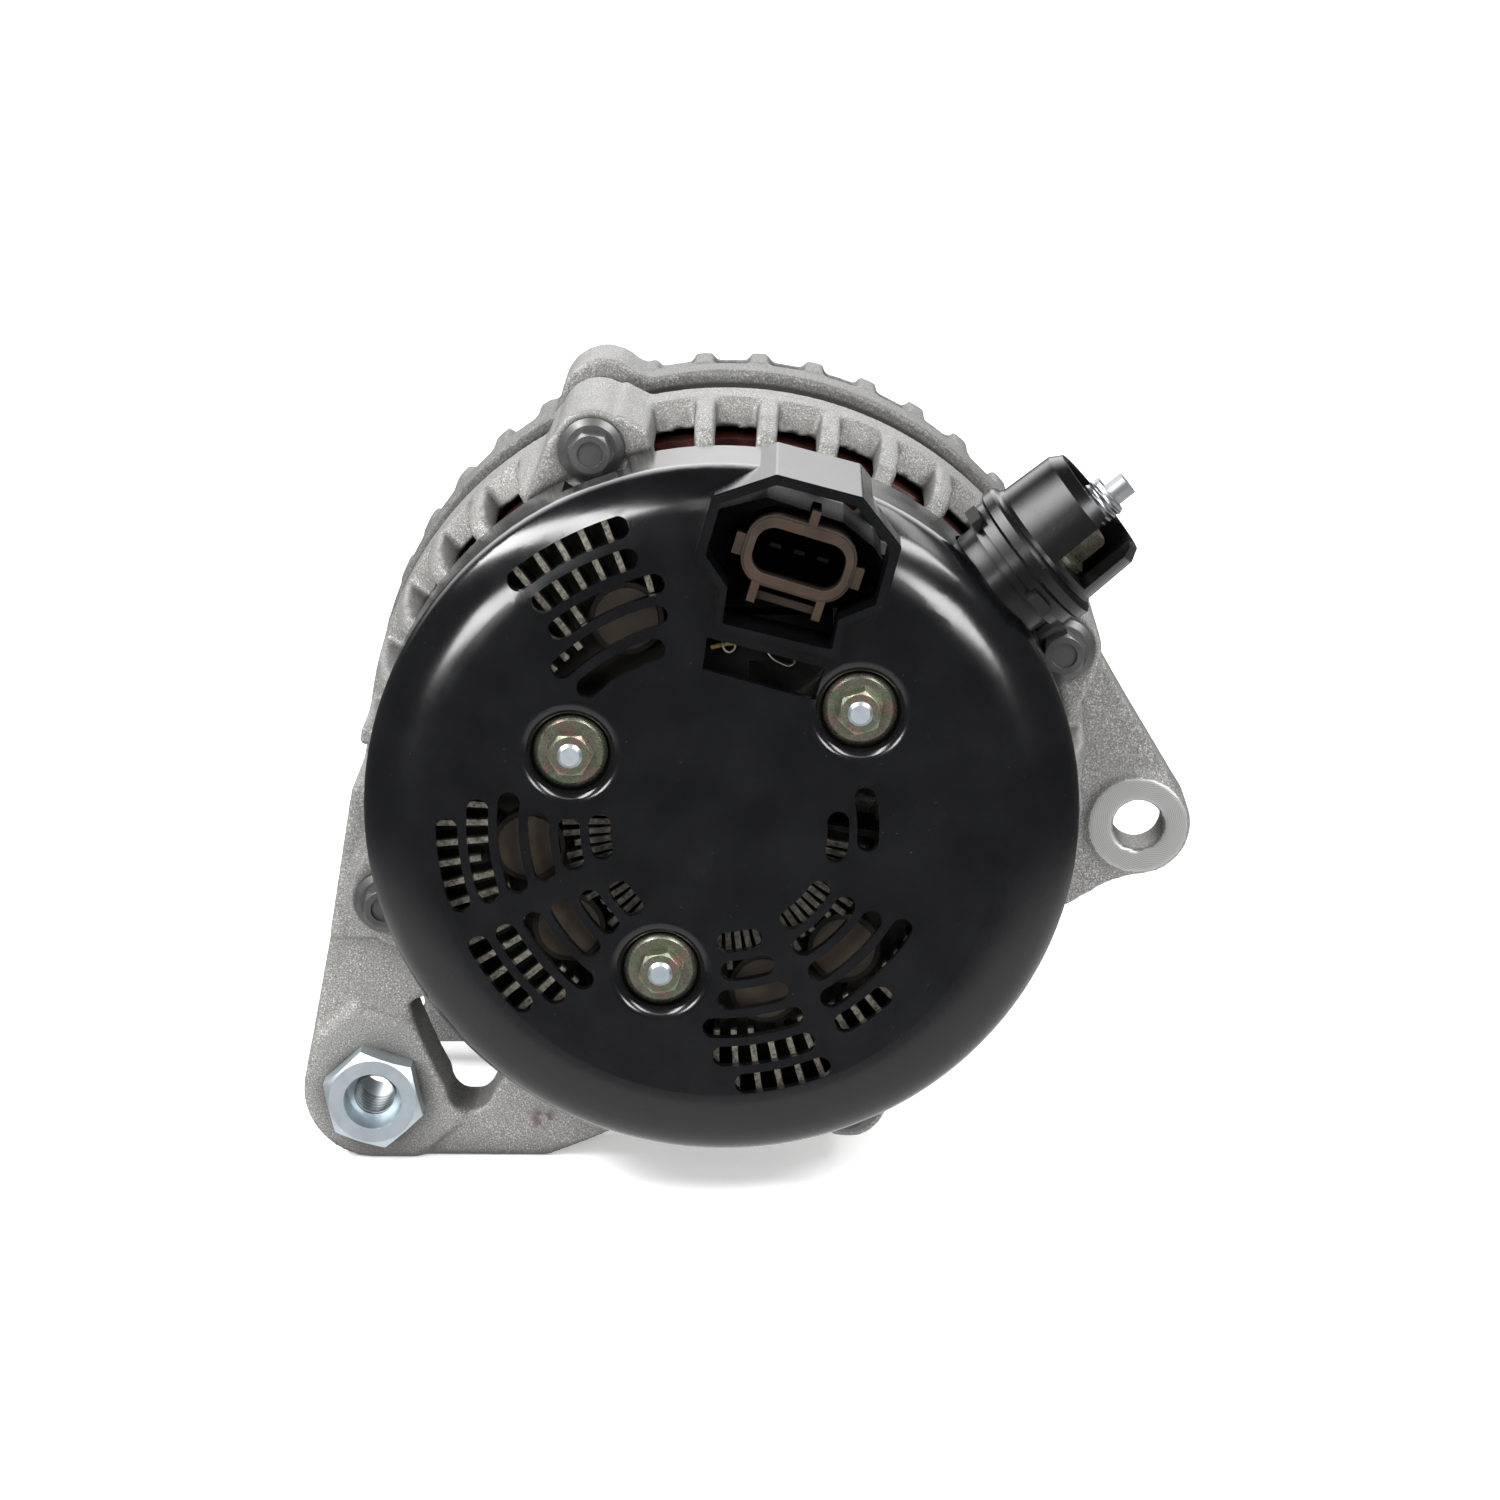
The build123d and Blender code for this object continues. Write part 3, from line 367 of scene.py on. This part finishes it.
def heat_sink():
    """Dull aluminium, rubbed pale along the fins' edges, with painted shade making it near black down
    between the fins and darker on the inner fins.
    """
    s = Shader("dull_aluminium", metallic=0.6)
    fine = s.noise(0.5, 3)
    rub = s.noise(0.9, 4, 0.7)
    # Painted shade: the inner fins darker, and near black below the fin tips.
    outer = s.fit(s.ring_distance(AXIS_MM), INNER_FINS_R_MM, OUTER_FINS_R_MM, 0.4, 1.0)
    tips = s.math("MULTIPLY", s.before(FIN_TOP_MM + 0.3, 1.5), outer)
    pale = s.mix(s.fit(rub, 0.35, 0.62, 0, 1), (0.07, 0.065, 0.05), (0.33, 0.315, 0.26))
    colour = s.mix(tips, (0.010, 0.009, 0.007), pale)
    return s.out(colour=colour, roughness=s.fit(fine, 0.3, 0.7, 0.34, 0.52),
                 normal=s.bump(fine, 0.02, 0.4, s.soft_edges(0.15)))


def enamel_copper():
    """Dark red enamelled wire, wound in bundles round the axis."""
    s = Shader("enamelled_copper", metallic=0.5)
    colour = s.mix(s.fit(s.noise(4, 2), 0.3, 0.7, 0, 1), (0.014, 0.003, 0.002), (0.055, 0.010, 0.005))
    return s.out(colour=colour, roughness=s.fit(s.noise(0.6, 2), 0.3, 0.7, 0.26, 0.4))


def laminations():
    """Varnished sheets stacked along the axis."""
    s = Shader("varnished_laminations", metallic=0.35)
    lines = s.math("SINE", s.math("MULTIPLY", s.depth(), 2 * pi / (LAMINATION_MM * MM)))
    colour = s.mix(s.fit(lines, -1, 1, 0, 1), (0.016, 0.015, 0.014), (0.07, 0.066, 0.06))
    return s.out(colour=colour, roughness=s.fit(s.noise(2, 3), 0.3, 0.7, 0.35, 0.6),
                 normal=s.bump(lines, 0.05, 0.6))


MATERIALS = {
    "cover_plastic": cover_plastic(),
    "dark_plastic": plastic("matte_black_plastic", (0.002, 0.002, 0.002), 0.6, hollow_mm=12, gloss=0.2),
    "brown_plastic": socket_plastic(),
    "chromate_zinc": chromate(),
    "zinc_steel": metal("bright_zinc", (0.66, 0.73, 0.77), (0.56, 0.63, 0.68), 0.40, edge_mm=0.05),
    "cast_aluminium": cast_aluminium(),
    "machined_steel": metal("turned_steel", (0.50, 0.49, 0.47), (0.40, 0.39, 0.38), 0.3),
    "bearing_steel": metal("ground_steel", (0.60, 0.60, 0.60), (0.52, 0.52, 0.52), 0.18),
    "cage_polymer": plastic("cage_polymer", (0.42, 0.34, 0.2), 0.5),
    "seal_rubber": plastic("seal_rubber", (0.02, 0.02, 0.02), 0.55),
    "lamination_steel": laminations(),
    "copper_enamel": enamel_copper(),
    "sink_aluminium": heat_sink(),
    "diode_metal": metal("diode_nickel", (0.042, 0.031, 0.021), (0.028, 0.021, 0.014), 0.42, metallic=0.5),
    "tinned_brass": metal("tinned_brass", (0.42, 0.38, 0.27), (0.34, 0.30, 0.2), 0.3),
    "carbon": metal("carbon_brush", (0.05, 0.045, 0.04), (0.03, 0.028, 0.026), 0.5, metallic=0.2),
    "spring_steel": metal("spring_steel", (0.55, 0.55, 0.55), (0.4, 0.4, 0.4), 0.3),
    "slip_copper": metal("slip_ring_copper", (0.72, 0.36, 0.2), (0.6, 0.28, 0.15), 0.25),
    "forged_steel": metal("forged_steel", (0.24, 0.22, 0.20), (0.13, 0.12, 0.11), 0.45),
    "fan_steel": metal("fan_steel", (0.45, 0.45, 0.44), (0.32, 0.32, 0.31), 0.38),
    "pulley_steel": metal("black_oxide", (0.055, 0.055, 0.058), (0.03, 0.03, 0.032), 0.36, metallic=0.8),
}
SPECIAL = {
    "terminal_stud": metal("satin_zinc", (0.36, 0.375, 0.38), (0.28, 0.295, 0.30), 0.34, edge_mm=0.03),
    # Connector pins with painted shade: near black down in the socket.
    "connector_pins": metal("brass_in_painted_shade", (0.016, 0.014, 0.010), (0.012, 0.010, 0.008), 0.35),
    "through_bolts": metal("dull_zinc", (0.105, 0.107, 0.105), (0.08, 0.082, 0.08), 0.34, metallic=0.7,
                           edge_mm=0.05),
    "terminal_insulator": cover_plastic("terminal_plastic", (0.002, 0.002, 0.0022), 0.24, gloss=0.3),
}

for part in frame["record"]["subparts"]:
    node = NODES[part["node"]]
    node.data.materials.clear()
    node.data.materials.append(SPECIAL.get(part["node"]) or MATERIALS[part["material_slot"]])


def soften_casting(name):
    """Rounds every edge of a casting the way sand casting leaves it."""
    node = NODES[name]
    remesh = node.modifiers.new("even_skin", "REMESH")
    remesh.mode, remesh.voxel_size, remesh.use_smooth_shade = "VOXEL", CAST_VOXEL_MM * MM, True
    smooth = node.modifiers.new("rounded_edges", "SMOOTH")
    smooth.factor, smooth.iterations = 0.5, 4


soften_casting("rear_bracket")
soften_casting("front_bracket")

# ---- fine shapes the solids leave plain ------------------------------------------------------

def add_piece(name, mesh):
    """A new piece attached to the housing, carrying the material already on its mesh."""
    piece = bpy.data.objects.new(name, mesh)
    bpy.context.collection.objects.link(piece)
    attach(piece, "housing")
    return piece


THREAD_STEPS = 40
# How far along one pitch each corner lies, and whether it is on the crest.
THREAD_PROFILE = ((0.0, False), (0.12, False), (0.45, True), (0.60, True), (0.95, False))


def thread(name, base, axis, length_mm, crest_mm, root_mm, pitch_mm):
    """A helical thread skin on a bar, or in a bore when the root is wider than the crest."""
    axis = Vector(axis).normalized()
    across = axis.orthogonal().normalized()
    beside = axis.cross(across)
    rows = int(length_mm / pitch_mm * THREAD_STEPS) + 1
    fade = THREAD_STEPS * 0.6
    vertices, faces = [], []
    for row in range(rows):
        turn = 2 * pi * row / THREAD_STEPS
        arm = across * cos(turn) + beside * sin(turn)
        grown = min(1.0, row / fade, (rows - 1 - row) / fade)
        for along, on_crest in THREAD_PROFILE:
            radius = root_mm + (crest_mm - root_mm) * grown * on_crest
            climb = (row / THREAD_STEPS + (along - 0.5) * grown) * pitch_mm
            vertices.append(Vector(base) + axis * climb * MM + arm * radius * MM)
    wide = len(THREAD_PROFILE)
    for row in range(rows - 1):
        for k in range(wide - 1):
            a = row * wide + k
            faces.append((a, a + 1, a + wide + 1, a + wide))
    mesh = bpy.data.meshes.new(name)
    mesh.from_pydata(vertices, [], faces)
    mesh.polygons.foreach_set("use_smooth", [True] * len(faces))
    mesh.materials.append(SPECIAL["terminal_stud"])
    return add_piece(name, mesh)


stud_axis = Vector((cos(TERMINAL_ANGLE), 0, sin(TERMINAL_ANGLE)))
stud_start = stud_axis * STUD_END_R_MM * MM + Vector((0, TERMINAL_MM * MM, 0))
thread("terminal_thread", stud_start, stud_axis, length_mm=5.2, crest_mm=4.28, root_mm=3.98, pitch_mm=1.25)
hex_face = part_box("pivot_bushing")[0][1]
pivot_start = (PIVOT_MM[0] * MM, hex_face + PIVOT_LEAD_MM * MM, PIVOT_MM[1] * MM)
thread("pivot_thread_turns", pivot_start, (0, 1, 0), length_mm=11.0, crest_mm=4.12, root_mm=4.26,
       pitch_mm=1.5)


def wire(name, points_mm, thick_mm, material):
    """A round wire bent through points, as a mesh."""
    curve = bpy.data.curves.new(name, "CURVE")
    curve.dimensions, curve.bevel_depth, curve.bevel_resolution = "3D", thick_mm / 2 * MM, 3
    curve.resolution_u = 8
    spline = curve.splines.new("BEZIER")
    spline.bezier_points.add(len(points_mm) - 1)
    for knot, point in zip(spline.bezier_points, points_mm):
        knot.co = Vector(point) * MM
        knot.handle_left_type = knot.handle_right_type = "AUTO"
    bent = bpy.data.objects.new(name + "_curve", curve)
    bpy.context.collection.objects.link(bent)
    mesh = bpy.data.meshes.new_from_object(bent)
    bpy.data.objects.remove(bent)
    mesh.materials.append(material)
    return add_piece(name, mesh)


# Points in millimetres: X, depth, Z.
LEFT_WIRE = ((-0.6, WIRE_MM + 3, 39.0), (0.2, WIRE_MM, 36.6), (1.2, WIRE_MM - 0.5, 34.4),
             (2.5, WIRE_MM, 34.6), (3.0, WIRE_MM + 1, 37.0), (3.2, WIRE_MM + 4, 39.0))
RIGHT_WIRE = ((7.6, WIRE_MM + 3, 38.0), (9.2, WIRE_MM, 34.3), (10.8, WIRE_MM - 0.5, 32.6),
              (14.3, WIRE_MM, 31.8), (14.2, WIRE_MM + 1, 33.6), (12.6, WIRE_MM + 4, 36.0))
TAIL_WIRE = ((-1.9, WIRE_MM + 1, 34.9), (2.6, WIRE_MM + 0.6, 35.9), (7.3, WIRE_MM + 1, 35.4),
             (9.8, WIRE_MM + 4, 36.8))
brown_wire = plastic("varnished_wire", (0.16, 0.11, 0.035), 0.4)
pale_wire = metal("pale_wire", (0.30, 0.29, 0.24), (0.2, 0.19, 0.15), 0.4)
wire("window_wire_left", LEFT_WIRE, THIN_WIRE_MM, pale_wire)
wire("window_wire_right", RIGHT_WIRE, THIN_WIRE_MM, pale_wire)
wire("window_tail", TAIL_WIRE, TAIL_WIRE_MM, brown_wire)


def pressed_spring(side):
    """A brush's coil: a copy of the spring's mesh as a new piece of the housing, with the spring part
    itself hidden.
    """
    node = NODES["brush_spring_" + side]
    coil = add_piece("brush_coil_" + side, node.data.copy())
    coil.matrix_world = node.matrix_world
    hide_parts(node.name)
    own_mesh(coil)


pressed_spring("rear")
pressed_spring("front")

# ---- camera, floor and light ---------------------------------------------------------------

CAMERA_AZIMUTH, CAMERA_ELEVATION = radians(0.8), radians(16.6)
CAMERA_DISTANCE = 728.9 * MM
CAMERA_AIM = Vector((5.8, -127.0, 14.9)) * MM
LENS_MM, SENSOR_MM = 88.8, 36.0


def direction(azimuth, elevation):
    """A unit vector out from the object; azimuth 0 is straight behind the rear cover."""
    return Vector((sin(azimuth) * cos(elevation), -cos(azimuth) * cos(elevation), sin(elevation)))


back = direction(CAMERA_AZIMUTH, CAMERA_ELEVATION)
camera_data = bpy.data.cameras.new("camera")
camera_data.lens, camera_data.sensor_width = LENS_MM, SENSOR_MM
camera = bpy.data.objects.new("camera", camera_data)
bpy.context.collection.objects.link(camera)
camera.location = CAMERA_AIM + back * CAMERA_DISTANCE
camera.rotation_euler = back.to_track_quat("Z", "Y").to_euler()
bpy.context.scene.camera = camera

FLOOR_SIZE, NEAR_GLOW, FAR_GLOW = 14.0, 0.3, 0.8
NEAR_GLOW_END_MM, FAR_GLOW_START_MM = 1500, 4500
floor_z = cad_box[0][2]
bpy.ops.mesh.primitive_plane_add(size=FLOOR_SIZE, location=(0, 0, floor_z))
floor = bpy.context.object
floor.name = "floor"
floor.visible_glossy = False
white = Shader("studio_floor", (0.94, 0.94, 0.94), 0.9)
white.set(white.bsdf, "Emission Color", (1, 1, 1, 1))
floor_distance = white.ring_distance(AXIS_MM, across=(0, 1))
white.set(white.bsdf, "Emission Strength",
          white.fit(floor_distance, NEAR_GLOW_END_MM, FAR_GLOW_START_MM, NEAR_GLOW, FAR_GLOW))
floor.data.materials.append(white.out(roughness=white.fit(white.noise(30, 2), 0.3, 0.7, 0.85, 0.95)))

# What polished faces mirror, and the even light that dull faces get, as multiples of paper white.
ROOM, TABLE, BACK_WALL, EVEN_LIGHT = 0.10, 0.85, 3.6, 0.45
# Where the table's far edge, the wall's side and the wall's foot fade, as parts of a unit direction.
TABLE_EDGE, WALL_SIDE, WALL_FOOT = (-0.56, -0.34), (0.55, 0.8), (0.1, 0.3)


def studio_world():
    """White to the eye; a dark room over a white table for reflections; even light for dull faces."""
    world = bpy.data.worlds.new("studio")
    world.use_nodes = True
    g = Graph(world.node_tree)
    _, y, z = g.split(g.add("ShaderNodeTexCoord").outputs["Generated"])
    table = g.fit(z, *TABLE_EDGE, TABLE, 0.0)
    wall = g.math("MULTIPLY", g.fit(y, *WALL_SIDE, 0.0, BACK_WALL), g.fit(z, *WALL_FOOT, 0.0, 1.0))
    mirrored = g.math("ADD", g.math("ADD", table, wall), ROOM)
    rays = g.add("ShaderNodeLightPath").outputs
    light = g.blend(rays["Is Glossy Ray"], EVEN_LIGHT, mirrored)
    background = g.nodes["Background"]
    g.set(background, "Color", (1, 1, 1, 1))
    g.set(background, "Strength", g.blend(rays["Is Camera Ray"], light, 1.0))
    bpy.context.scene.world = world


studio_world()
bpy.context.scene.view_settings.view_transform = "Standard"


LAMP_AIM, LAMP_DISTANCE = Vector((0, -0.12, 0)), 2.0


def softbox(name, azimuth, elevation, size, radiance):
    """A lamp that looks at the cover; angles in degrees from the rear axis, radiance per steradian."""
    offset = direction(radians(azimuth), radians(elevation)) * LAMP_DISTANCE
    data = bpy.data.lights.new(name, "AREA")
    data.shape, data.size, data.size_y = "RECTANGLE", size[0], size[1]
    data.energy = radiance * pi * size[0] * size[1]
    lamp = bpy.data.objects.new(name, data)
    bpy.context.collection.objects.link(lamp)
    lamp.location = LAMP_AIM + offset
    lamp.rotation_euler = offset.to_track_quat("Z", "Y").to_euler()


# Name, azimuth, elevation, size in metres, radiance.
SOFTBOXES = (
    ("left_bar", -66, 47, (3.0, 0.40), 21),
    ("right_bar", 44, 41, (1.3, 0.40), 17),
    ("right_bar_end", 108, 50, (1.8, 0.34), 6),
    ("left_front", -30, 10, (0.70, 0.40), 20),
    ("right_front", 28, 11, (0.64, 0.40), 18),
    ("top_front", 6, 40, (0.8, 0.5), 2.0),
)
for lamp_settings in SOFTBOXES:
    softbox(*lamp_settings)
